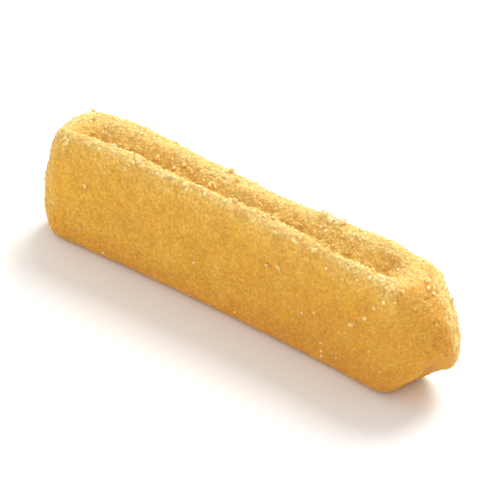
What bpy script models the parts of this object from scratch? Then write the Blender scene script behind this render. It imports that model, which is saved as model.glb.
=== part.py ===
"""A short, thick breadstick, at its real size in metres, +Z up.

It is one bar of baked dough, taller than it is thick. A groove runs along its top between two lips, both ends
are cut, and it rests on its narrow underside. Its length lies along X, its thickness along Y, and the origin
is at the middle of the underside. Coarse grains of salt are baked on and are one solid with the dough.
"""

import math
import random

import bmesh
import bpy
from mathutils import Matrix, Vector, noise
from mathutils.bvhtree import BVHTree

MM = 0.001

# The dough's own size, without the salt
LENGTH = 60.0 * MM
HEIGHT = 16.5 * MM
THICKNESS = 9.2 * MM

# Roundness of the edges: one reach under the bar and at its ends, and reaches across and down beside the lips
UNDERSIDE_ROUND = 1.9 * MM
NEAR_TOP_ROUND = (1.3 * MM, 2.6 * MM)
FAR_TOP_ROUND = (1.9 * MM, 1.7 * MM)
END_ROUND = 1.8 * MM

# The groove between the two lips
GROOVE_START = -27.0 * MM
GROOVE_STOP = 25.3 * MM
GROOVE_NEAR_WIDTH = 1.25 * MM
GROOVE_FAR_WIDTH = 3.6 * MM
GROOVE_DEPTH = 1.7 * MM
GROOVE_RUN_OUT = 5.0 * MM
GROOVE_SIDE_STEP = 1.35 * MM
GROOVE_WANDER = 0.25 * MM
GROOVE_WANDER_LENGTH = 23.0 * MM
FAR_LIP_DROP = 0.3 * MM
FAR_LIP_SWELL = 0.55 * MM
FAR_LIP_SWELL_PLACE = 20.0 * MM
FAR_LIP_SWELL_REACH = 7.0 * MM
LIPS_START = 0.55

# How the bar departs from a straight one; a tuck is given at the near and at the far broad face
NEAR_WAIST = 0.04
FAR_WAIST = 0.19
WAIST_PLACE = 3.0 * MM
WAIST_REACH = 14.0 * MM
PILLOW = 0.10
BOW = 1.0 * MM
NEAR_CROWN = 2.6 * MM
FAR_CROWN = 1.8 * MM
LEFT_CUT_SLANT = 1.9 * MM
LEFT_CUT_TUCK = (0.8 * MM, 0.8 * MM)
RIGHT_CUT_SLANT = 3.8 * MM
RIGHT_CUT_TUCK = (6.8 * MM, 3.0 * MM)
SLANT_CURVE = 2.1
TUCK_CURVE = 2.0
CUT_WIDEST_AT = 0.35
CUT_REACH = 16.0 * MM
LEFT_TOP_FALL = 1.3 * MM
LEFT_FALL_FROM = 0.70
RIGHT_UNDERSIDE_LIFT = 1.4 * MM
RIGHT_LIFT_BETWEEN = (0.76, 0.90)
NOTCH_DEPTH = 3.1 * MM
NOTCH_PLACE = -1.6 * MM
NOTCH_NEAR_WIDTH = 1.3 * MM
NOTCH_FAR_WIDTH = 2.6 * MM

# Unevenness of the baked surface: how far each kind reaches out, and over what length it repeats
SWELLS = (0.32 * MM, 9.0 * MM)
DENTS = (0.17 * MM, 3.4 * MM)
CRUMB_ON_CUTS = (0.22 * MM, 1.9 * MM)
CUT_FACE_DEPTH = 0.1 * MM
EVEN_ABOVE_UNDERSIDE = 2.2 * MM

# How finely the bar is divided along X, Y and Z, and how far the cuts crowd towards its edges there
DIVISIONS = (58, 17, 13)
CROWDING = (0.25, 0.0, 0.6)

# The salt that shows from a step away
SALT_GRAINS = 40
SALT_SEED = 4
SALT_SIZES = (0.28 * MM, 0.48 * MM)
SALT_STRETCH = (0.7, 1.2)
SALT_SUNK = 0.35
SALT_SPREAD = math.radians(36)
SALT_LOWEST = math.radians(115)
CLUMP_GRAINS = 5
CLUMP_PLACE = 9.2 * MM
CLUMP_LENGTH = 3.0 * MM
CLUMP_LEANS = (math.radians(14), math.radians(20))
CLUMP_SIZES = (0.50 * MM, 0.78 * MM)


def smooth_step(low, high, value):
    """0 below low, 1 above high, with an easy curve between."""
    share = min(1.0, max(0.0, (value - low) / (high - low)))
    return share * share * (3.0 - 2.0 * share)


def hump(distance, reach):
    """A bell curve of height 1."""
    return math.exp(-((distance / reach) ** 2))


def near_top(z):
    """1 along the top of the bar and 0 from the middle down."""
    return smooth_step(LIPS_START * HEIGHT, HEIGHT, z)


def rounded(p):
    """Edges of the block turned to arcs, which change from those under the bar to those beside its lips."""
    beside_lip = NEAR_TOP_ROUND if p.y < 0 else FAR_TOP_ROUND
    across, down = [UNDERSIDE_ROUND + (reach - UNDERSIDE_ROUND) * p.z / HEIGHT for reach in beside_lip]
    radius = Vector((END_ROUND, across, down))
    low = Vector((-LENGTH / 2, -THICKNESS / 2, 0.0)) + radius
    high = Vector((LENGTH / 2, THICKNESS / 2, HEIGHT)) - radius
    core = Vector([min(max(p[i], low[i]), high[i]) for i in range(3)])
    away = Vector([(p[i] - core[i]) / radius[i] for i in range(3)])
    if away.length == 0.0:
        return p.copy()
    away.normalize()
    return core + Vector([away[i] * radius[i] for i in range(3)])


def groove_centre(x):
    """Where across the bar the bottom of the groove runs."""
    return GROOVE_WANDER * math.sin(2 * math.pi * x / GROOVE_WANDER_LENGTH) - GROOVE_SIDE_STEP


def groove_strength(x):
    """1 along the groove, running out to 0 at both of its ends."""
    opens = smooth_step(GROOVE_START - GROOVE_RUN_OUT / 2, GROOVE_START + GROOVE_RUN_OUT, x)
    closes = smooth_step(GROOVE_STOP - GROOVE_RUN_OUT, GROOVE_STOP + GROOVE_RUN_OUT / 2, x)
    return opens * (1.0 - closes)


def grooved(p):
    """The groove pressed into the top, close behind the near lip, and the far lip, low at its waist."""
    strength = groove_strength(p.x) * near_top(p.z)
    aside = p.y - groove_centre(p.x)
    across = aside / (GROOVE_FAR_WIDTH if aside > 0 else GROOVE_NEAR_WIDTH)
    trough = 0.5 * (1.0 + math.cos(math.pi * across)) if abs(across) < 1.0 else 0.0
    far_side = smooth_step(0.0, THICKNESS / 3, p.y)
    drop = FAR_LIP_DROP * far_side * hump(p.x - WAIST_PLACE, WAIST_REACH)
    swell = FAR_LIP_SWELL * far_side * hump(p.x - FAR_LIP_SWELL_PLACE, FAR_LIP_SWELL_REACH) * near_top(p.z)
    return p - Vector((0.0, 0.0, strength * (GROOVE_DEPTH * trough + drop) - swell))


def waisted(p):
    """Broad faces that swell at mid height, and lips drawn together near the middle of the length."""
    pillow = 1.0 - PILLOW * (2.0 * p.z / HEIGHT - 1.0) ** 2
    waist = FAR_WAIST if p.y > 0 else NEAR_WAIST
    drawn_in = 1.0 - waist * hump(p.x - WAIST_PLACE, WAIST_REACH) * p.z / HEIGHT
    return Vector((p.x, p.y * pillow * drawn_in, p.z))


def cut(p):
    """Ends that bulge in plan, longest a third of the way up, slanting back above it and tucked in below."""
    slant, tuck = (RIGHT_CUT_SLANT, RIGHT_CUT_TUCK) if p.x > 0 else (LEFT_CUT_SLANT, LEFT_CUT_TUCK)
    height = p.z / HEIGHT
    above = max(0.0, height - CUT_WIDEST_AT) / (1.0 - CUT_WIDEST_AT)
    below = max(0.0, CUT_WIDEST_AT - height) / CUT_WIDEST_AT
    crown = (FAR_CROWN if p.y > 0 else NEAR_CROWN) * (2.0 * p.y / THICKNESS) ** 2
    near_tuck, far_tuck = tuck
    tuck_here = near_tuck + (far_tuck - near_tuck) * (0.5 + p.y / THICKNESS)
    inwards = slant * above**SLANT_CURVE + tuck_here * below**TUCK_CURVE + crown
    reach = smooth_step(LENGTH / 2 - CUT_REACH, LENGTH / 2, abs(p.x))
    return p - Vector((math.copysign(inwards * reach, p.x), 0.0, 0.0))


def turned_at_ends(p):
    """The top falls towards the left cut; the underside lifts towards the right one, with a notch in it."""
    along = 2.0 * p.x / LENGTH
    height = p.z / HEIGHT
    fall = LEFT_TOP_FALL * smooth_step(LEFT_FALL_FROM, 1.0, -along) * height
    notch = NOTCH_DEPTH * hump(p.y - NOTCH_PLACE, NOTCH_NEAR_WIDTH if p.y < NOTCH_PLACE else NOTCH_FAR_WIDTH)
    lift = (RIGHT_UNDERSIDE_LIFT + notch) * smooth_step(*RIGHT_LIFT_BETWEEN, along) * (1.0 - height)
    return p + Vector((0.0, 0.0, lift - fall))


def bowed(p):
    """The whole bar bent a little in plan, with both ends towards -Y."""
    return p - Vector((0.0, BOW * (2.0 * p.x / LENGTH) ** 2, 0.0))


def unevenness(p, on_cut):
    """How far the baked surface stands out of, or sinks into, the smooth bar at a point."""
    kinds = [SWELLS, DENTS] + ([CRUMB_ON_CUTS] if on_cut else [])
    return sum(reach * noise.noise(p / length) for reach, length in kinds)


def divided_block():
    """A block of the bar's size, divided finely enough to carry its relief."""
    bpy.ops.mesh.primitive_cube_add(size=1.0)
    block = bpy.context.object
    mesh = bmesh.new()
    mesh.from_mesh(block.data)
    for vertex in mesh.verts:
        vertex.co = Vector((vertex.co.x * LENGTH, vertex.co.y * THICKNESS, (vertex.co.z + 0.5) * HEIGHT))
    sizes = (LENGTH, THICKNESS, HEIGHT)
    middle = Vector((0.0, 0.0, HEIGHT / 2))
    for axis, count in enumerate(DIVISIONS):
        along = Vector([float(i == axis) for i in range(3)])
        for step in range(1, count):
            place = middle + along * sizes[axis] * station(step / count, CROWDING[axis])
            everything = mesh.verts[:] + mesh.edges[:] + mesh.faces[:]
            bmesh.ops.bisect_plane(mesh, geom=everything, plane_co=place, plane_no=along)
    return block, mesh


def station(share, crowding):
    """A cut's place from -0.5 to 0.5, evenly spaced at no crowding and closer near the edges at 1."""
    even = share - 0.5
    crowded = -math.cos(math.pi * share) / 2
    return even + (crowded - even) * crowding


def flat_underside(vertices):
    """The vertices of the face that the bar was baked on."""
    half_width = THICKNESS / 2 - UNDERSIDE_ROUND
    half_length = RIGHT_LIFT_BETWEEN[0] * LENGTH / 2
    return {v for v in vertices if v.co.z == 0.0 and abs(v.co.y) <= half_width and abs(v.co.x) <= half_length}


def bring_to_size(mesh):
    """Brings the bar to exactly its named size, centred over the origin, with its underside at height 0."""
    sizes = (LENGTH, THICKNESS, HEIGHT)
    low = [min(v.co[i] for v in mesh.verts) for i in range(3)]
    high = [max(v.co[i] for v in mesh.verts) for i in range(3)]
    for vertex in mesh.verts:
        for i, size in enumerate(sizes):
            share = (vertex.co[i] - low[i]) / (high[i] - low[i])
            vertex.co[i] = size * (share if i == 2 else share - 0.5)


def make_dough():
    """The bar of dough, with its groove, lips, cuts and uneven surface, but no salt."""
    block, mesh = divided_block()
    resting = flat_underside(mesh.verts)
    cuts = {v for v in mesh.verts if abs(v.co.x) > LENGTH / 2 - CUT_FACE_DEPTH}
    for vertex in mesh.verts:
        place = rounded(vertex.co)
        for shaping in (grooved, waisted, cut, turned_at_ends, bowed):
            place = shaping(place)
        vertex.co = place
    mesh.normal_update()
    smooth_places = {v: (v.co.copy(), v.normal.copy()) for v in mesh.verts}
    for vertex, (place, normal) in smooth_places.items():
        if vertex in resting:
            continue
        free = smooth_step(0.0, EVEN_ABOVE_UNDERSIDE, place.z)
        vertex.co = place + normal * free * unevenness(place, vertex in cuts)
    bring_to_size(mesh)
    mesh.to_mesh(block.data)
    mesh.free()
    block.name = "breadstick"
    return block


def surface_under(tree, x, lean):
    """Where a ray aimed at the bar's middle line, from above and leaning to a side, meets the dough."""
    outwards = Vector((0.0, math.sin(lean), math.cos(lean)))
    middle = Vector((x, 0.0, HEIGHT / 2))
    place, normal, _, _ = tree.ray_cast(middle + outwards * LENGTH, -outwards)
    return place, normal


def salt_sites(draw):
    """Where the grains lie, as a place along the bar, a lean to one side, and a size."""
    for index in range(SALT_GRAINS):
        share = (index + draw.random()) / SALT_GRAINS
        x = (share - 0.5) * (LENGTH - 2 * END_ROUND)
        lean = draw.gauss(0.0, SALT_SPREAD)
        yield x, max(-SALT_LOWEST, min(SALT_LOWEST, lean)), draw.uniform(*SALT_SIZES)
    for index in range(CLUMP_GRAINS):
        x = CLUMP_PLACE + CLUMP_LENGTH * index / CLUMP_GRAINS
        yield x, draw.uniform(*CLUMP_LEANS), draw.uniform(*CLUMP_SIZES)


def add_grain(place, normal, size, draw, collection):
    """One angular grain, partly sunk in the dough."""
    mesh = bmesh.new()
    bmesh.ops.create_icosphere(mesh, subdivisions=1, radius=size)
    turn = Matrix.Rotation(draw.uniform(0.0, math.tau), 4, Vector((draw.random(), draw.random(), 1.0)))
    stretch = [draw.uniform(*SALT_STRETCH) for _ in range(3)]
    mesh.transform(turn @ Matrix.Diagonal((*stretch, 1.0)))
    data = bpy.data.meshes.new("salt_grain")
    mesh.to_mesh(data)
    mesh.free()
    grain = bpy.data.objects.new("salt_grain", data)
    grain.location = place + normal * size * (0.5 - SALT_SUNK)
    collection.objects.link(grain)


def add_salt(dough):
    """Bakes the coarse grains on: each lies where a ray meets the dough, and one union joins them all."""
    graph = bpy.context.evaluated_depsgraph_get()
    tree = BVHTree.FromObject(dough, graph)
    salt = bpy.data.collections.new("salt")
    bpy.context.scene.collection.children.link(salt)
    draw = random.Random(SALT_SEED)
    for x, lean, size in salt_sites(draw):
        place, normal = surface_under(tree, x, lean)
        add_grain(place, normal, size, draw, salt)
    join = dough.modifiers.new("salt", "BOOLEAN")
    join.operation = "UNION"
    join.operand_type = "COLLECTION"
    join.collection = salt
    join.solver = "EXACT"
    bpy.context.view_layer.update()
    joined = bpy.data.meshes.new_from_object(dough.evaluated_get(bpy.context.evaluated_depsgraph_get()))
    dough.modifiers.clear()
    dough.data = joined
    for grain in list(salt.objects):
        bpy.data.objects.remove(grain)
    bpy.data.collections.remove(salt)


def centre_over_origin(mesh):
    """Centres the salted stick over the origin, as its grains stand out further on one side."""
    middle = [(min(v.co[i] for v in mesh.vertices) + max(v.co[i] for v in mesh.vertices)) / 2 for i in (0, 1)]
    mesh.transform(Matrix.Translation((-middle[0], -middle[1], 0.0)))


def crust_material():
    """Golden baked crust, matt and slightly oily."""
    material = bpy.data.materials.new("crust")
    material.use_nodes = True
    shader = material.node_tree.nodes["Principled BSDF"]
    shader.inputs["Base Color"].default_value = (0.72, 0.38, 0.06, 1.0)
    shader.inputs["Roughness"].default_value = 0.72
    shader.inputs["Metallic"].default_value = 0.0
    return material


def main():
    for old in list(bpy.data.objects):
        bpy.data.objects.remove(old)
    breads = bpy.data.collections.new("breadstick")
    bpy.context.scene.collection.children.link(breads)
    dough = make_dough()
    add_salt(dough)
    centre_over_origin(dough.data)
    dough.data.name = "breadstick"
    dough.data.materials.clear()
    dough.data.materials.append(crust_material())
    dough.data.shade_smooth()
    for collection in list(dough.users_collection):
        collection.objects.unlink(dough)
    breads.objects.link(dough)


main()
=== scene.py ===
"""The looks of a baked breadstick: its sandy golden crust, the salt on it and the crumbs baked onto it."""

import math
import random

import bmesh
import bpy
import numpy as np
from mathutils import Matrix, Vector, noise
from mathutils.bvhtree import BVHTree


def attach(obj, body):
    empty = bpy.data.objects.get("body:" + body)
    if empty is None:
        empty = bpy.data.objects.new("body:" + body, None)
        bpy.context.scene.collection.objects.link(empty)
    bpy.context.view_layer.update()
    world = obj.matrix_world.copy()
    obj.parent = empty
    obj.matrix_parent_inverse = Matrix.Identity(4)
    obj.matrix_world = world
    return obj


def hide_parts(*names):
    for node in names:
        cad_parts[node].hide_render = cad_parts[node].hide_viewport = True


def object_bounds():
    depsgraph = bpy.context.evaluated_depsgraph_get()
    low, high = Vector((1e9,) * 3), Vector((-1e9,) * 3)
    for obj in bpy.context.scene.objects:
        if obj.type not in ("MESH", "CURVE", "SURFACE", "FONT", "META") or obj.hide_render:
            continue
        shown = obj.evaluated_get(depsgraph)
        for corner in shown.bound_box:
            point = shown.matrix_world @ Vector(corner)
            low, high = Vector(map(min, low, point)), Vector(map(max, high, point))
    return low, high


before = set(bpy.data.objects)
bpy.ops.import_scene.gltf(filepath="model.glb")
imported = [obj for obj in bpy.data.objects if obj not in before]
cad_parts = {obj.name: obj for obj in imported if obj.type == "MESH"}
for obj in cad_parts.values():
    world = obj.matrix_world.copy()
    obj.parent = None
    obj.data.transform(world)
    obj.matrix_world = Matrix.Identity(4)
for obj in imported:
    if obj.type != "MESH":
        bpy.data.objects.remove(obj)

MM = 0.001
CAD_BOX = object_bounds()
LOW, HIGH = CAD_BOX
LENGTH, _, HEIGHT = HIGH - LOW
CENTRE = (LOW + HIGH) / 2
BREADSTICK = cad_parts["breadstick"]

# The photograph's view of the stick
CAMERA_ROUND = math.radians(40)
CAMERA_RISE = math.radians(35)
CAMERA_DISTANCE = 0.60
VIEW_WIDTH = 57.0 * MM
SENSOR_WIDTH = 36.0
NEAREST_SEEN = 0.01

# Light: each lamp's direction (right, up and towards the camera), distance, width and power
SURROUND_STRENGTH = 0.82
KEY_LAMP = ((0.45, 0.9, -0.5), 0.5, 0.30, 2.5)
FILL_LAMP = ((-0.5, 0.6, 0.8), 0.6, 0.40, 0.5)
FLOOR_WIDTH = 4.0

# The dough's mesh, before its fine relief
MESH_CELL = 0.19 * MM
GRAIN_CLEARING = 1.5
CLEARING_ROUNDS = 60
CLEARING_STRENGTH = 0.9
FACET_SMOOTHING = 12
SMOOTHING_PULL = 0.6
SMOOTHING_PUSH = -0.62
RIDGE_SMOOTHING = 130
RIDGE_DEPTH = 0.45 * MM
SKIN_ALLOWANCE = 0.08 * MM

# Where each zone of the dough starts and where it is full, by height, ridge, or which way the surface faces
TOP_HEIGHTS = (0.55 * HEIGHT, 0.75 * HEIGHT)
GROOVE_DEPTHS = (0.12, 0.55)
LIP_RIDGES = (0.2, 0.8)
FACING_A_CUT = (0.45, 0.8)
FACING_UP = (0.35, 0.9)
FACING_RIGHT = (0.05, 0.4)
FACING_LEFT = (0.7, 0.95)
# Where the painted rim highlight lies on the cuts
RIM_FACING_RIGHT = (0.15, 0.5)
RIM_FACING_LEFT = (0.1, 0.6)
RIM_FACING_AWAY = (-0.35, 0.35)
RIM_SIDE = (-1.5 * MM, 1.0 * MM)
RIM_LEVEL_PART = (0.7, 0.95)
RIM_LOST_ON_LEVEL_PART = 0.75
LEFT_RIM_SHARE = 0.4
LEAST_PLAN_LENGTH = 0.3

# Fine relief: how far it reaches, and the size of its swells
SWELLS = (0.11 * MM, 3.1 * MM)
CRAGS = (0.075 * MM, 1.25 * MM)
PEBBLES = (0.12 * MM, 0.62 * MM)
GRAIN = (0.045 * MM, 0.46 * MM)
PEBBLE_REACH = 0.75
PORE_SIZE = 0.95 * MM
PORE_DEPTH = 0.22 * MM
PORE_NOISE = (0.42, 0.75)
PORES_OFF_THE_CUTS = 0.5
FOOT_FADE = 1.0 * MM
ROUGHER_ON_CUTS = 0.5
ROUGHER_IN_GROOVE = 1.8
ROUGHER_ON_LIPS = 0.6
RELIEF_UNIT = 0.2 * MM

# The coarse salt, placed by the same rule as in the solid
DOUGH_HEIGHT = 16.5 * MM
CUT_EDGE = 1.8 * MM
SALT_GRAINS = 40
SALT_SEED = 4
SALT_SIZES = (0.28 * MM, 0.48 * MM)
SALT_STRETCH = (0.7, 1.2)
SALT_SPREAD = math.radians(36)
SALT_LOWEST = math.radians(115)
SALT_SUNK = 0.8
CLUMP_GRAINS = 5
CLUMP_PLACE = 9.2 * MM
CLUMP_LENGTH = 3.0 * MM
CLUMP_LEANS = (math.radians(14), math.radians(20))
CLUMP_SIZES = (0.50 * MM, 0.78 * MM)

# The crystals that a coarse grain is made of, as shares of its size
CRYSTALS_IN_GRAIN = 4
CRYSTAL_WIDTH = 1.5
CRYSTAL_SHARES = (0.45, 0.7)
CRYSTAL_SPREAD = 0.35
CRYSTAL_WEAR = 0.28
CRYSTAL_UNEVENNESS = (0.86, 1.0)
SCATTERED_SALT_DUST = 1.0
CLUMP_DUST = 0.0

# Strewn grains: the zone they lie in, how many lie there, their radii, and how deep they sit, in radii
CRUMBS = {
    "Where": "crumbed",
    "Per Square Metre": 5.5e6,
    "Seed": 3,
    "Smallest": 0.08 * MM,
    "Largest": 0.18 * MM,
    "Sunk": -0.25,
}
FINE_SALT = {
    "Where": "salted",
    "Per Square Metre": 1.3e6,
    "Seed": 8,
    "Smallest": 0.10 * MM,
    "Largest": 0.22 * MM,
    "Sunk": 0.05,
}
LIP_CRUMBS = {
    "Where": "lipped",
    "Per Square Metre": 2.4e6,
    "Seed": 5,
    "Smallest": 0.14 * MM,
    "Largest": 0.27 * MM,
    "Sunk": -0.15,
}
GRAIN_STRETCH = (0.65, 1.15)
CLUSTER_SIZE = 4.0 * MM
CLUSTER_NOISE = (-0.25, 0.45)
ABOVE_THE_FOOT = (0.2 * MM, 1.5 * MM)
CRUMBS_FACING = (-0.75, 0.35)
MORE_CRUMBS_FACING = (-0.1, 0.7)
LIP_CRUMB_RIDGES = (0.1, 0.55)
LIP_CRUMB_HEIGHTS = (0.75 * HEIGHT, 0.88 * HEIGHT)
CRUMBS_BETWEEN_CLUSTERS = 0.4
CRUMBS_ON_SIDES = 0.45
SALT_ON_SIDES = 0.04
LIP_CRUMBS_BETWEEN_CLUSTERS = 0.35

# The crust's gold, lighter at its left end and darker at its right as painted light and shade, and its grains
LEFT_GOLD = "#e4ae35"
SHADED_RIGHT_GOLD = "#d89b2a"
GOLD_STRETCH = (-0.4 * LENGTH, 0.45 * LENGTH)
CRUST_GRAIN = 0.36 * MM
GRAIN_TONES = (0.93, 1.1)

# Colours laid over the crust's gold, each with the largest share that it takes
# Browner towards the foot: partly baked browning, partly painted shade
FOOT_BAKED_AND_SHADED = ("#d98f2a", 0.6)
PATCH_BROWN = ("#d38d28", 0.4)
# Paler gold higher up the sides: painted light
SHOULDER_PAINTED_LIGHT = ("#e6b13b", 0.7)
# Yellower along the upper edge: partly paler crust on the lip, partly painted light
EDGE_PALE_AND_LIT = ("#eec053", 0.85)
# Paler where the surface faces up: painted light
TOP_PAINTED_LIGHT = ("#d9b864", 0.9)
TOASTED_END = ("#d2972e", 0.7)
FLOUR_DUST = ("#f0d083", 0.7)
# Cream down the far edge of the right cut: a painted rim highlight
RIM_HIGHLIGHT = ("#f2db8c", 0.85)
# A little darker in the groove: painted shade
GROOVE_PAINTED_SHADE = ("#ccaf50", 0.4)
SCORCH_BROWN = ("#c98429", 0.5)
# Browner in the hollows of the relief: painted shade
HOLLOW_PAINTED_SHADE = ("#c08329", 0.4)
# Paler on the peaks of the relief: painted highlight
PEAK_PAINTED_HIGHLIGHT = ("#efcf80", 0.3)
# Browner in the seams between the crust's grains: painted shade
SEAM_PAINTED_SHADE = ("#cb8425", 0.45)
SPECK_CREAM = ("#f3d692", 0.35)

# Where those colours lie: heights above the floor, the size of their spots, and where each starts and is full
FOOT_HEIGHT = 6.0 * MM
SHOULDER_HEIGHTS = (8.5 * MM, 13.5 * MM)
EDGE_HEIGHTS = (12.8 * MM, 15.8 * MM)
DUST_HEIGHTS = (10.0 * MM, 14.5 * MM)
DUST_RIDGES = (-0.15, 0.45)
DUST_ON_ENDS = 0.15
DUST_ON_UPRIGHT = 0.3
PATCH_SIZE = 7.0 * MM
SCORCH_SIZE = 1.8 * MM
SPECK_SIZE = 0.30 * MM
GRIT_SIZE = 0.21 * MM
SPOT_NOISE = (0.45, 0.7)
SPECK_NOISE = (0.6, 0.72)
SEAM_DISTANCES = (0.35, 0.8)
GROOVE_SHARES = (0.2, 1.0)
HOLLOW_RELIEF = (0.0, -0.9)
PEAK_RELIEF = (0.0, 0.8)


# Meshes

def read_points(mesh):
    """A mesh's vertices as rows of x, y and z."""
    flat = np.empty(len(mesh.vertices) * 3, np.float32)
    mesh.vertices.foreach_get("co", flat)
    return flat.reshape(-1, 3).astype(float)


def write_points(mesh, points):
    """Moves a mesh's vertices to the points."""
    mesh.vertices.foreach_set("co", points.astype(np.float32).ravel())
    mesh.update()


def read_normals(mesh):
    """The direction that the surface faces at each vertex."""
    flat = np.empty(len(mesh.vertices) * 3, np.float32)
    mesh.vertex_normals.foreach_get("vector", flat)
    return flat.reshape(-1, 3).astype(float)


def read_edges(mesh):
    """The two vertices of each edge."""
    flat = np.empty(len(mesh.edges) * 2, np.int32)
    mesh.edges.foreach_get("vertices", flat)
    return flat.reshape(-1, 2)


def write_attribute(mesh, name, values):
    """Stores one number at each vertex, for a material or a node tree to read."""
    attribute = mesh.attributes.new(name, "FLOAT", "POINT")
    attribute.data.foreach_set("value", values.astype(np.float32))


def read_attribute(mesh, name):
    """The number stored at each vertex under a name."""
    values = np.empty(len(mesh.vertices), np.float32)
    mesh.attributes[name].data.foreach_get("value", values)
    return values


def smooth_step(low, high, values):
    """0 up to the low value and 1 from the high one, with a soft rise between them."""
    share = np.clip((values - low) / (high - low), 0.0, 1.0)
    return share * share * (3.0 - 2.0 * share)


def at_least(least, shares):
    """Shares from 0 to 1 turned to shares from the least to 1."""
    return least + (1.0 - least) * shares


def relaxed(points, edges, rounds, strength=0.5):
    """Points drawn towards the mean of their neighbours, a number of times over."""
    count = len(points)
    neighbours = np.bincount(edges.ravel(), minlength=count)
    first, second = edges.T
    moved = points.copy()
    for _ in range(rounds):
        for axis in range(3):
            column = moved[:, axis]
            total = np.bincount(first, column[second], count) + np.bincount(second, column[first], count)
            moved[:, axis] = column + (strength * (total / neighbours - column))
    return moved


def soft_noise(points, size, shift):
    """Soft noise from -1 to 1 at each point, whose swells are a size apart. A shift picks the pattern."""
    start = Vector((shift, shift * 1.7, -shift))
    return np.array([noise.noise(Vector(p) / size + start) for p in points])


def packed_pebbles(points, size, shift):
    """1 at the top of each of many packed pebbles of a size, falling to 0 between them."""
    start = Vector((shift, -shift, shift * 2.3))
    nearest = np.array([noise.voronoi(Vector(p) / size + start)[0][0] for p in points])
    return np.clip(1.0 - nearest / PEBBLE_REACH, 0.0, 1.0)


def link(obj):
    """Puts an object into the scene."""
    bpy.context.scene.collection.objects.link(obj)
    return obj


def settled(obj, name):
    """An object with what its modifiers make of it as its own plain mesh, and no modifiers."""
    graph = bpy.context.evaluated_depsgraph_get()
    mesh = bpy.data.meshes.new_from_object(obj.evaluated_get(graph))
    obj.modifiers.clear()
    obj.data = mesh
    obj.name = mesh.name = name
    return obj


# Coarse salt

def salt_sites(draw):
    """Where the coarse grains lie, as a place along the stick, a lean to one side, and a size."""
    for index in range(SALT_GRAINS):
        share = (index + draw.random()) / SALT_GRAINS
        x = (share - 0.5) * (LENGTH - 2 * CUT_EDGE)
        lean = draw.gauss(0.0, SALT_SPREAD)
        yield x, max(-SALT_LOWEST, min(SALT_LOWEST, lean)), draw.uniform(*SALT_SIZES)
    for index in range(CLUMP_GRAINS):
        x = CLUMP_PLACE + CLUMP_LENGTH * index / CLUMP_GRAINS
        yield x, draw.uniform(*CLUMP_LEANS), draw.uniform(*CLUMP_SIZES)


def find_salt():
    """The middle, size, turn and stretch of each coarse grain, read off the solid that carries them."""
    tree = BVHTree.FromObject(BREADSTICK, bpy.context.evaluated_depsgraph_get())
    draw = random.Random(SALT_SEED)
    grains = []
    for x, lean, size in salt_sites(draw):
        turn = Matrix.Rotation(draw.uniform(0.0, math.tau), 4, Vector((draw.random(), draw.random(), 1.0)))
        stretch = [draw.uniform(*SALT_STRETCH) for _ in range(3)]
        outwards = Vector((0.0, math.sin(lean), math.cos(lean)))
        middle = Vector((x, 0.0, DOUGH_HEIGHT / 2))
        top, _, _, _ = tree.ray_cast(middle + outwards * LENGTH, -outwards)
        grains.append((top - outwards * size * SALT_SUNK, size, turn, stretch))
    return grains


def add_crystal(bm, place, draw, dusty, layer):
    """One crystal of salt: a cube with worn corners, unevenly broken, and dusty or clean."""
    cube = bmesh.ops.create_cube(bm, size=CRYSTAL_WIDTH)
    edges = list(dict.fromkeys(edge for vertex in cube["verts"] for edge in vertex.link_edges))
    worn = bmesh.ops.bevel(bm, geom=edges, offset=CRYSTAL_WEAR, segments=1, affect="EDGES")
    for vertex in dict.fromkeys(v for face in worn["faces"] for v in face.verts):
        vertex.co = place @ (vertex.co * draw.uniform(*CRYSTAL_UNEVENNESS))
        vertex[layer] = dusty


def make_coarse_salt(grains):
    """The coarse grains, in one piece: each is a few crystals baked together."""
    draw = random.Random(SALT_SEED)
    bm = bmesh.new()
    layer = bm.verts.layers.float.new("dusty")
    for middle, size, turn, stretch in grains:
        dusty = SCATTERED_SALT_DUST if size < CLUMP_SIZES[0] else CLUMP_DUST
        whole = Matrix.Translation(middle) @ turn @ Matrix.Diagonal((*[size * s for s in stretch], 1.0))
        for _ in range(CRYSTALS_IN_GRAIN):
            aside = Vector([draw.uniform(-CRYSTAL_SPREAD, CRYSTAL_SPREAD) for _ in range(3)])
            angle = draw.uniform(0.0, math.tau)
            tilt = Matrix.Rotation(angle, 4, Vector((draw.random(), 1.0, draw.random())))
            share = draw.uniform(*CRYSTAL_SHARES)
            place = whole @ Matrix.Translation(aside) @ tilt @ Matrix.Scale(share, 4)
            add_crystal(bm, place, draw, dusty, layer)
    mesh = bpy.data.meshes.new("coarse_salt")
    bm.to_mesh(mesh)
    bm.free()
    return link(bpy.data.objects.new("coarse_salt", mesh))


# Dough

def remeshed_solid():
    """The solid's form in even small faces."""
    bm = bmesh.new()
    bm.from_mesh(BREADSTICK.data)
    bmesh.ops.remove_doubles(bm, verts=bm.verts, dist=0.001 * MM)
    mesh = bpy.data.meshes.new("dough")
    bm.to_mesh(mesh)
    bm.free()
    dough = link(bpy.data.objects.new("dough", mesh))
    remesh = dough.modifiers.new("even faces", "REMESH")
    remesh.mode = "VOXEL"
    remesh.voxel_size = MESH_CELL
    return settled(dough, "dough")


def without_grains(points, edges, grains):
    """The dough with the bumps of the coarse grains drawn down to the surface around them."""
    flattened = points.copy()
    for middle, size, _, _ in grains:
        near = np.linalg.norm(points - np.array(middle), axis=1) < GRAIN_CLEARING * size
        local = edges[near[edges].any(axis=1)]
        kept, index = np.unique(local, return_inverse=True)
        free = near[kept]
        patch = flattened[kept]
        for _ in range(CLEARING_ROUNDS):
            patch[free] = relaxed(patch, index.reshape(-1, 2), 1, CLEARING_STRENGTH)[free]
        flattened[kept] = patch
    return flattened


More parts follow.
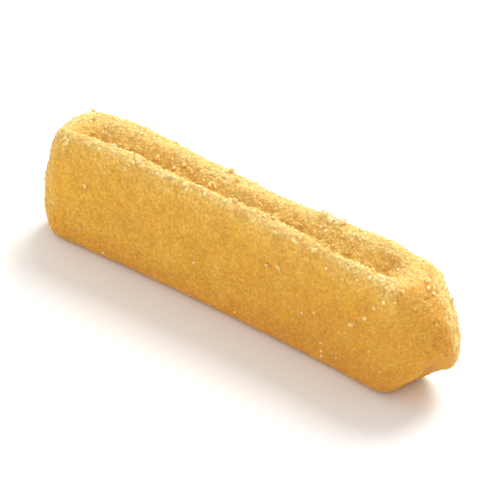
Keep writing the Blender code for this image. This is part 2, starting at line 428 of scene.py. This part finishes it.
def without_facets(points, edges):
    """The flats of the solid's triangles smoothed away, with no shrinking."""
    for _ in range(FACET_SMOOTHING):
        points = relaxed(points, edges, 1, SMOOTHING_PULL)
        points = relaxed(points, edges, 1, SMOOTHING_PUSH)
    return points


def ridge_strength(points, edges, normals):
    """1 on the crest of a lip, -1 deep in the groove, and 0 where the form is even."""
    core = relaxed(points, edges, RIDGE_SMOOTHING)
    return np.clip(((points - core) * normals).sum(axis=1) / RIDGE_DEPTH, -1.0, 1.0)


def end_strength(normals):
    """1 on the cuts at the two ends and 0 on the broad faces."""
    right = smooth_step(*FACING_RIGHT, normals[:, 0])
    left = smooth_step(*FACING_LEFT, -normals[:, 0])
    return np.maximum(right, left)


def rim_highlight_strength(points, normals):
    """1 down the far edge of the right cut, less where it turns level, and some on the left end: where a
    painted rim highlight lies.
    """
    plan_length = np.linalg.norm(normals[:, :2], axis=1)
    plan = normals[:, :2] / np.maximum(plan_length, LEAST_PLAN_LENGTH)[:, None]
    right = smooth_step(*RIM_FACING_RIGHT, plan[:, 0]) * smooth_step(*RIM_FACING_AWAY, plan[:, 1])
    right = right * (1.0 - RIM_LOST_ON_LEVEL_PART * smooth_step(*RIM_LEVEL_PART, normals[:, 2]))
    right = right * smooth_step(*RIM_SIDE, points[:, 1])
    left = LEFT_RIM_SHARE * smooth_step(*RIM_FACING_LEFT, -plan[:, 0])
    return np.maximum(right, left)


def fine_relief(points, cut, groove, lip):
    """How far the sandy crust stands out of the smooth dough at each point."""
    rough = 1.0 + ROUGHER_ON_CUTS * cut + ROUGHER_IN_GROOVE * groove + ROUGHER_ON_LIPS * lip
    swells = SWELLS[0] * soft_noise(points, SWELLS[1], shift=3.0)
    crags = CRAGS[0] * soft_noise(points, CRAGS[1], shift=11.0)
    pebbles = PEBBLES[0] * (packed_pebbles(points, PEBBLES[1], shift=5.0) - 0.5)
    grain = GRAIN[0] * soft_noise(points, GRAIN[1], shift=21.0)
    pores = smooth_step(*PORE_NOISE, soft_noise(points, PORE_SIZE, shift=31.0))
    return swells + rough * (crags + pebbles + grain) - PORE_DEPTH * pores * (PORES_OFF_THE_CUTS + cut)


def make_dough(grains):
    """The stick itself, without its salt. It carries numbers that say which zone each point is in."""
    dough = remeshed_solid()
    mesh = dough.data
    edges = read_edges(mesh)
    points = without_grains(read_points(mesh), edges, grains)
    points = without_facets(points, edges)
    write_points(mesh, points)
    normals = read_normals(mesh)

    ridge = ridge_strength(points, edges, normals)
    top = smooth_step(*TOP_HEIGHTS, points[:, 2])
    groove = smooth_step(*GROOVE_DEPTHS, -ridge) * top
    lips = smooth_step(*LIP_RIDGES, ridge) * top
    cut = smooth_step(*FACING_A_CUT, np.abs(normals[:, 0]))
    relief = fine_relief(points, cut, groove, lips)
    free = smooth_step(0.0, FOOT_FADE, points[:, 2])
    points = points + normals * ((relief - SKIN_ALLOWANCE * (1.0 + cut)) * free)[:, None]
    points[:, 2] = np.maximum(points[:, 2], 0.0)
    write_points(mesh, points)

    write_attribute(mesh, "skyward", smooth_step(*FACING_UP, normals[:, 2]))
    write_attribute(mesh, "ridge", ridge)
    write_attribute(mesh, "groove", groove)
    write_attribute(mesh, "cut", cut)
    write_attribute(mesh, "end", end_strength(normals))
    write_attribute(mesh, "rim", rim_highlight_strength(points, normals))
    write_attribute(mesh, "relief", np.clip(relief / RELIEF_UNIT, -1.0, 1.0))
    mesh.shade_smooth()
    return dough


def say_where_grains_lie(mesh):
    """Stores how thickly each kind of grain lies at each point of the dough, from 0 to 1."""
    points, normals = read_points(mesh), read_normals(mesh)
    ridge, skyward = read_attribute(mesh, "ridge"), read_attribute(mesh, "skyward")
    clusters = smooth_step(*CLUSTER_NOISE, soft_noise(points, CLUSTER_SIZE, shift=51.0))
    off_the_floor = smooth_step(*ABOVE_THE_FOOT, points[:, 2])
    facing_up = smooth_step(*MORE_CRUMBS_FACING, normals[:, 2])
    upper = smooth_step(*CRUMBS_FACING, normals[:, 2]) * off_the_floor
    lips = smooth_step(*LIP_CRUMB_RIDGES, ridge) * smooth_step(*LIP_CRUMB_HEIGHTS, points[:, 2])
    crumbed = upper * at_least(CRUMBS_BETWEEN_CLUSTERS, clusters) * at_least(CRUMBS_ON_SIDES, facing_up)
    write_attribute(mesh, "crumbed", crumbed)
    write_attribute(mesh, "salted", clusters * off_the_floor * at_least(SALT_ON_SIDES, skyward))
    write_attribute(mesh, "lipped", lips * at_least(LIP_CRUMBS_BETWEEN_CLUSTERS, clusters))


# Node helpers

def linear(hex_colour):
    """An sRGB hex colour as the linear values that Blender's sockets take."""
    values = [int(hex_colour[i:i + 2], 16) / 255 for i in (1, 3, 5)]
    return (*[v / 12.92 if v <= 0.04045 else ((v + 0.055) / 1.055) ** 2.4 for v in values], 1.0)


def add(tree, kind, inputs=None, **settings):
    """One node with its settings. An input is given a number, a colour, or another node's socket."""
    node = tree.nodes.new(kind)
    for name, value in settings.items():
        setattr(node, name, value)
    for name, value in (inputs or {}).items():
        if isinstance(value, bpy.types.NodeSocket):
            tree.links.new(value, node.inputs[name])
        else:
            node.inputs[name].default_value = value
    return node


def new_material(name):
    """An empty material, its tree and its output node."""
    material = bpy.data.materials.new(name)
    material.use_nodes = True
    material.node_tree.nodes.clear()
    return material, material.node_tree, material.node_tree.nodes.new("ShaderNodeOutputMaterial")


def blend_colours(tree, share, low, high):
    """Colour low where the share is 0 and colour high where it is 1, each a hex value or a socket."""
    low, high = (linear(c) if isinstance(c, str) else c for c in (low, high))
    return add(tree, "ShaderNodeMix", {0: share, 6: low, 7: high}, data_type="RGBA").outputs[2]


def remap(tree, value, low, high, to_low=0.0, to_high=1.0):
    """A value's stretch from low to high, turned to another stretch and held inside it."""
    inputs = {"Value": value, "From Min": low, "From Max": high, "To Min": to_low, "To Max": to_high}
    return add(tree, "ShaderNodeMapRange", inputs, interpolation_type="SMOOTHSTEP").outputs[0]


def product(tree, first, *others):
    """The first value multiplied by each of the others."""
    for other in others:
        first = add(tree, "ShaderNodeMath", {0: first, 1: other}, operation="MULTIPLY").outputs[0]
    return first


def lay_over(tree, colour, layer, value, low, high, *shares):
    """A colour with another over it, from none where a value is low to its full share where it is high."""
    over, full = layer
    share = product(tree, remap(tree, value, low, high, 0.0, full), *shares)
    return blend_colours(tree, share, colour, over)


def speckle(tree, place, size, detail=2.0):
    """Noise from 0 to 1 whose spots are a size across."""
    inputs = {"Vector": place, "Scale": 1.0 / size, "Detail": detail, "Roughness": 0.6}
    return add(tree, "ShaderNodeTexNoise", inputs).outputs["Fac"]


def carried(tree, name):
    """A number stored on the mesh."""
    return add(tree, "ShaderNodeAttribute", attribute_name=name).outputs["Fac"]


# Materials

def crust_colour(tree, place, grain):
    """Gold, browner at the foot and the ends, and paler on the lips and along the top, with painted light and
    shade: lighter to the left and up the sides, a painted rim highlight on the right cut, painted shade at
    the foot, in the groove, hollows and grain seams, and painted highlights on the grain peaks.
    """
    along, _, height = add(tree, "ShaderNodeSeparateXYZ", {"Vector": place}).outputs
    ridge, groove, relief = carried(tree, "ridge"), carried(tree, "groove"), carried(tree, "relief")
    end, cut, rim, skyward = (carried(tree, name) for name in ("end", "cut", "rim", "skyward"))
    dust_limits = (
        remap(tree, height, *DUST_HEIGHTS),
        remap(tree, end, 0.0, 1.0, 1.0, DUST_ON_ENDS),
        remap(tree, skyward, 0.0, 0.5, DUST_ON_UPRIGHT, 1.0),
    )
    # Painted light and shade: lighter towards the left end, darker towards the right
    colour = blend_colours(tree, remap(tree, along, *GOLD_STRETCH), LEFT_GOLD, SHADED_RIGHT_GOLD)
    # Browner towards the foot: partly baked browning, partly painted shade
    colour = lay_over(tree, colour, FOOT_BAKED_AND_SHADED, height, FOOT_HEIGHT, 0.0)
    colour = lay_over(tree, colour, PATCH_BROWN, speckle(tree, place, PATCH_SIZE), *SPOT_NOISE)
    # Paler higher up the sides: painted light
    colour = lay_over(tree, colour, SHOULDER_PAINTED_LIGHT, height, *SHOULDER_HEIGHTS)
    # Yellower along the upper edge: partly paler crust, partly painted light
    colour = lay_over(tree, colour, EDGE_PALE_AND_LIT, height, *EDGE_HEIGHTS)
    # Paler where the surface faces up: painted light
    colour = lay_over(tree, colour, TOP_PAINTED_LIGHT, skyward, 0.0, 1.0)
    colour = lay_over(tree, colour, TOASTED_END, end, 0.0, 1.0)
    colour = lay_over(tree, colour, FLOUR_DUST, ridge, *DUST_RIDGES, *dust_limits)
    # A painted rim highlight on the cuts
    colour = lay_over(tree, colour, RIM_HIGHLIGHT, rim, 0.0, 1.0)
    # Darker in the groove: painted shade
    colour = lay_over(tree, colour, GROOVE_PAINTED_SHADE, groove, *GROOVE_SHARES)
    colour = lay_over(tree, colour, SCORCH_BROWN, speckle(tree, place, SCORCH_SIZE), *SPOT_NOISE, cut)
    # Darker in the hollows of the relief: painted shade
    colour = lay_over(tree, colour, HOLLOW_PAINTED_SHADE, relief, *HOLLOW_RELIEF)
    # Paler on the peaks of the relief: painted highlight
    colour = lay_over(tree, colour, PEAK_PAINTED_HIGHLIGHT, relief, *PEAK_RELIEF)

    grain_tone = add(tree, "ShaderNodeSeparateColor", {"Color": grain["Color"]}).outputs[0]
    tone = remap(tree, grain_tone, 0.0, 1.0, *GRAIN_TONES)
    colour = add(tree, "ShaderNodeHueSaturation", {"Color": colour, "Value": tone}).outputs[0]
    # Darker in the seams between grains: painted shade
    colour = lay_over(tree, colour, SEAM_PAINTED_SHADE, grain["Distance"], *SEAM_DISTANCES)
    return lay_over(tree, colour, SPECK_CREAM, speckle(tree, place, SPECK_SIZE), *SPECK_NOISE)


def baked_crust():
    """Wheat dough with fine salt and flour, baked golden.

    Its lips are dusted pale and its cuts toasted browner, and fine light and dark specks of
    salt, flour and scorched crumb lie all over it. Its hollows and the seams between its grains are
    darkened as painted shade, the peaks of its grains lightened as painted highlights, and its colour
    also carries painted light and shade from end to end, up its sides and on its top.
    It is dry and matt, and lets a little light in.
    """
    material, tree, output = new_material("baked_crust")
    place = add(tree, "ShaderNodeTexCoord").outputs["Object"]
    grain = add(tree, "ShaderNodeTexVoronoi", {"Vector": place, "Scale": 1.0 / CRUST_GRAIN}).outputs
    grit = speckle(tree, place, GRIT_SIZE, detail=3.0)
    pebble = add(tree, "ShaderNodeMath", {0: grit, 1: grain["Distance"]}, operation="SUBTRACT").outputs[0]
    bump = add(tree, "ShaderNodeBump", {"Strength": 0.8, "Distance": 0.12 * MM, "Height": pebble})
    shader = add(tree, "ShaderNodeBsdfPrincipled", {
        "Base Color": crust_colour(tree, place, grain),
        "Roughness": remap(tree, grit, 0.3, 0.7, 0.65, 0.85),
        "IOR": 1.4,
        "Subsurface Weight": 0.2,
        "Subsurface Radius": (1.0, 0.55, 0.2),
        "Subsurface Scale": 0.7 * MM,
        "Sheen Weight": 0.12,
        "Sheen Roughness": 0.4,
        "Sheen Tint": linear("#fff2cf"),
        "Normal": bump.outputs["Normal"],
    })
    tree.links.new(shader.outputs[0], output.inputs[0])
    return material


def sea_salt():
    """Crystals of salt, frosted by baking: clean ones are cloudy cream and glint, dusty ones look golden."""
    material, tree, output = new_material("sea_salt")
    place = add(tree, "ShaderNodeTexCoord").outputs["Object"]
    cloud = remap(tree, speckle(tree, place, 0.4 * MM), 0.35, 0.65)
    clean = blend_colours(tree, cloud, "#fbe3ad", "#f2cf8d")
    shader = add(tree, "ShaderNodeBsdfPrincipled", {
        "Base Color": blend_colours(tree, carried(tree, "dusty"), clean, "#efcb7c"),
        "Roughness": 0.35,
        "IOR": 1.544,
    })
    tree.links.new(shader.outputs[0], output.inputs[0])
    return material


def semolina_grain():
    """Grains of semolina baked onto the lips, each golden or cream, which make them look sugared."""
    material, tree, output = new_material("semolina_grain")
    shader = add(tree, "ShaderNodeBsdfPrincipled", {
        "Base Color": blend_colours(tree, carried(tree, "tone"), "#e9c26a", "#f8e2a6"),
        "Roughness": 0.55,
        "IOR": 1.45,
        "Subsurface Weight": 0.3,
        "Subsurface Radius": (1.0, 0.7, 0.35),
        "Subsurface Scale": 0.2 * MM,
    })
    tree.links.new(shader.outputs[0], output.inputs[0])
    return material


def baked_crumb():
    """Crumbs of semolina and dough, each toasted or golden. Those that lie on the top may be cream; on the
    upright sides they stay darker, as painted shade.
    """
    material, tree, output = new_material("baked_crumb")
    tone, skyward = carried(tree, "tone"), carried(tree, "skyward")
    colour = blend_colours(tree, remap(tree, tone, 0.0, 0.45), "#cf9636", "#dba541")
    # Cream only where the crumbs face up, darker on the sides: painted shade
    pale_facing_up = product(tree, remap(tree, tone, 0.45, 1.0), remap(tree, skyward, 0.1, 0.8, 0.12, 1.0))
    shader = add(tree, "ShaderNodeBsdfPrincipled", {
        "Base Color": blend_colours(tree, pale_facing_up, colour, "#f0d68f"),
        "Roughness": 0.6,
        "IOR": 1.45,
        "Subsurface Weight": 0.3,
        "Subsurface Radius": (1.0, 0.6, 0.25),
        "Subsurface Scale": 0.4 * MM,
    })
    tree.links.new(shader.outputs[0], output.inputs[0])
    return material


# Grains strewn by Geometry Nodes

STREWING_INPUTS = (
    ("Geometry", "NodeSocketGeometry"),
    ("Where", "NodeSocketString"),
    ("Per Square Metre", "NodeSocketFloat"),
    ("Seed", "NodeSocketInt"),
    ("Smallest", "NodeSocketFloat"),
    ("Largest", "NodeSocketFloat"),
    ("Sunk", "NodeSocketFloat"),
    ("Material", "NodeSocketMaterial"),
)


def strewing_tree():
    """A node tree that strews small grains over a surface, thickest where the named attribute is 1."""
    tree = bpy.data.node_groups.new("strewn_grains", "GeometryNodeTree")
    for name, kind in STREWING_INPUTS:
        tree.interface.new_socket(name, in_out="INPUT", socket_type=kind)
    tree.interface.new_socket("Geometry", in_out="OUTPUT", socket_type="NodeSocketGeometry")
    given = add(tree, "NodeGroupInput").outputs
    seed = given["Seed"]
    thick = add(tree, "GeometryNodeInputNamedAttribute", {"Name": given["Where"]}, data_type="FLOAT")
    spots = add(tree, "GeometryNodeDistributePointsOnFaces", {
        "Mesh": given["Geometry"],
        "Density": product(tree, thick.outputs[0], given["Per Square Metre"]),
        "Seed": seed,
    }, distribute_method="RANDOM").outputs
    radius = add(tree, "FunctionNodeRandomValue", {
        2: given["Smallest"],
        3: given["Largest"],
        "Seed": seed,
    }, data_type="FLOAT").outputs[1]
    inwards = add(tree, "ShaderNodeVectorMath", {
        0: spots["Normal"],
        "Scale": product(tree, radius, given["Sunk"]),
    }, operation="SCALE")
    places = add(tree, "GeometryNodeSetPosition", {
        "Geometry": spots["Points"],
        "Offset": inwards.outputs[0],
    })
    turn = add(tree, "FunctionNodeRandomValue", {
        1: (math.tau,) * 3,
        "Seed": seed,
    }, data_type="FLOAT_VECTOR")
    stretch = add(tree, "FunctionNodeRandomValue", {
        0: (GRAIN_STRETCH[0],) * 3,
        1: (GRAIN_STRETCH[1],) * 3,
        "Seed": seed,
    }, data_type="FLOAT_VECTOR")
    scale = add(tree, "ShaderNodeVectorMath", {0: stretch.outputs[0], "Scale": radius}, operation="SCALE")
    ball = add(tree, "GeometryNodeMeshIcoSphere", {"Radius": 1.0, "Subdivisions": 1})
    grains = add(tree, "GeometryNodeInstanceOnPoints", {
        "Points": places.outputs[0],
        "Instance": ball.outputs["Mesh"],
        "Rotation": turn.outputs[0],
        "Scale": scale.outputs[0],
    })
    tone = add(tree, "FunctionNodeRandomValue", {"Seed": seed}, data_type="FLOAT")
    toned = add(tree, "GeometryNodeStoreNamedAttribute", {
        "Geometry": grains.outputs[0],
        "Name": "tone",
        "Value": tone.outputs[1],
    }, data_type="FLOAT", domain="INSTANCE")
    real = add(tree, "GeometryNodeRealizeInstances", {"Geometry": toned.outputs[0]})
    coated = add(tree, "GeometryNodeSetMaterial", {
        "Geometry": real.outputs[0],
        "Material": given["Material"],
    })
    add(tree, "NodeGroupOutput", {"Geometry": coated.outputs[0]})
    return tree


def strew(name, surface, tree, settings, material):
    """A piece of its own, made of the grains that the tree strews over a surface."""
    piece = link(bpy.data.objects.new(name, surface.data.copy()))
    modifier = piece.modifiers.new("grains", "NODES")
    modifier.node_group = tree
    given = {**settings, "Material": material}
    for item in tree.interface.items_tree:
        if item.in_out == "INPUT" and item.name in given:
            modifier[item.identifier] = given[item.name]
    return settled(piece, name)


# Floor, light and camera

def make_floor():
    """A plain pale floor, matt as paper."""
    bpy.ops.mesh.primitive_plane_add(size=FLOOR_WIDTH)
    floor = bpy.context.object
    floor.name = "floor"
    material, tree, output = new_material("white_paper")
    shader = add(tree, "ShaderNodeBsdfPrincipled", {"Base Color": linear("#f2f1ef"), "Roughness": 0.7})
    tree.links.new(shader.outputs[0], output.inputs[0])
    floor.data.materials.append(material)


def from_camera_side(right, up, towards):
    """A direction given by how far it points right, up and towards the camera."""
    side = Vector((math.cos(CAMERA_ROUND), math.sin(CAMERA_ROUND), 0.0))
    front = Vector((math.sin(CAMERA_ROUND), -math.cos(CAMERA_ROUND), 0.0))
    return (side * right + Vector((0.0, 0.0, up)) + front * towards).normalized()


def aim_at_stick(holder, direction, distance):
    """Places a lamp or camera in a direction from the stick, facing it."""
    holder.location = CENTRE + direction * distance
    holder.rotation_mode = "QUATERNION"
    holder.rotation_quaternion = direction.to_track_quat("Z", "Y")


def add_softbox(name, direction, distance, width, power):
    """A square studio lamp that faces the stick."""
    lamp = bpy.data.lights.new(name, "AREA")
    lamp.shape = "SQUARE"
    lamp.size = width
    lamp.energy = power
    aim_at_stick(link(bpy.data.objects.new(name, lamp)), from_camera_side(*direction), distance)


def light_studio():
    """Even white light from all around, a lamp from behind on the right and a weak one in front."""
    world = bpy.data.worlds.new("studio")
    world.use_nodes = True
    background = world.node_tree.nodes["Background"]
    background.inputs["Color"].default_value = linear("#ffffff")
    background.inputs["Strength"].default_value = SURROUND_STRENGTH
    bpy.context.scene.world = world
    add_softbox("key", *KEY_LAMP)
    add_softbox("fill", *FILL_LAMP)
    bpy.context.scene.view_settings.view_transform = "Standard"


def place_camera():
    """A camera with a long lens, where the photograph's stood."""
    back = from_camera_side(0.0, math.sin(CAMERA_RISE), math.cos(CAMERA_RISE))
    camera = bpy.data.cameras.new("camera")
    camera.sensor_width = SENSOR_WIDTH
    camera.lens = SENSOR_WIDTH * CAMERA_DISTANCE / VIEW_WIDTH
    camera.clip_start = NEAREST_SEEN
    holder = link(bpy.data.objects.new("camera", camera))
    aim_at_stick(holder, back, CAMERA_DISTANCE)
    bpy.context.scene.camera = holder


def make_pieces():
    """The dough and everything that lies on it."""
    coarse_grains = find_salt()
    dough = make_dough(coarse_grains)
    say_where_grains_lie(dough.data)
    dough.data.materials.clear()
    dough.data.materials.append(baked_crust())
    salt = sea_salt()
    tree = strewing_tree()
    crumbs = strew("crumbs", dough, tree, CRUMBS, baked_crumb())
    fine_salt = strew("fine_salt", dough, tree, FINE_SALT, salt)
    lip_crumbs = strew("lip_crumbs", dough, tree, LIP_CRUMBS, semolina_grain())
    coarse_salt = make_coarse_salt(coarse_grains)
    coarse_salt.data.materials.append(salt)
    return dough, crumbs, lip_crumbs, fine_salt, coarse_salt


def keep_inside(piece):
    """Holds a piece's outermost points inside the solid's box."""
    points = read_points(piece.data)
    write_points(piece.data, np.clip(points, np.array(LOW), np.array(HIGH)))


def main():
    """The stick's pieces, which ride on its one body, in a small studio."""
    pieces = make_pieces()
    for piece in pieces:
        keep_inside(piece)
        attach(piece, "root")
    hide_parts("breadstick")
    make_floor()
    light_studio()
    place_camera()


main()
